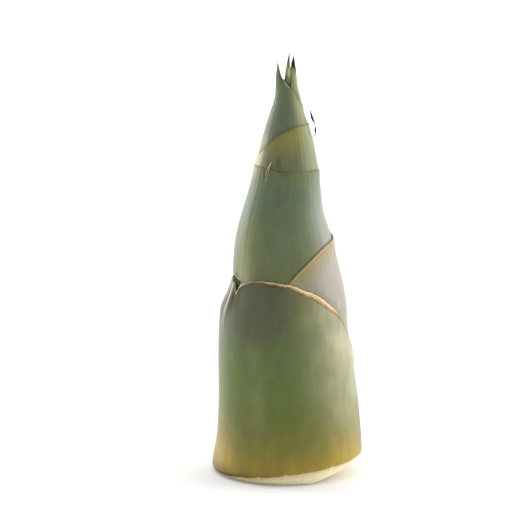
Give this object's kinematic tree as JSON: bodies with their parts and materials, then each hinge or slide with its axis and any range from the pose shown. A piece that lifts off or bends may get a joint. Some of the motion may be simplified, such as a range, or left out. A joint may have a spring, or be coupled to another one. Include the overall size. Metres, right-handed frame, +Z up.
{
  "type": "bamboo shoot",
  "caption": "Tapering fresh bamboo shoot, standing on its cut base, wrapped in overlapping waxy leaf sheaths that end in small dried blades.",
  "frame": {"origin": "on the flat of the cut base, at the centre of the shoot's foot", "axes": "+Z up along the shoot towards its tip, +X to the side where the base is cut at a slant, -Y to the front"},
  "size_m": [0.0859, 0.086, 0.24],
  "materials": {
    "core_flesh": "moist pale cream flesh, freshly cut, fine fibres",
    "sheath_1": "waxy olive leaf sheath with a bloom, fine ribs along it and a tan dried rim",
    "sheath_2": "waxy grey-green leaf sheath with a pale bloom and a thin tan margin",
    "sheath_3": "waxy grey-green leaf sheath with a pale bloom",
    "sheath_4": "waxy olive leaf sheath, yellower towards its rim",
    "sheath_5": "waxy grey-green leaf sheath with a pale edge",
    "sheath_6": "waxy grey-green leaf sheath with a dark dried blade",
    "sheath_7": "dark grey-green inner leaf sheath",
    "bud": "smooth yellow-green rolled bud with a dried grey tip"
  },
  "bodies": {
    "root": {"shoot_core": "core_flesh", "sheath_1_base": "sheath_1", "sheath_2": "sheath_2", "sheath_3": "sheath_3", "sheath_4": "sheath_4", "sheath_5": "sheath_5", "sheath_6": "sheath_6", "sheath_7": "sheath_7", "central_bud": "bud"}
  },
  "joints": []
}
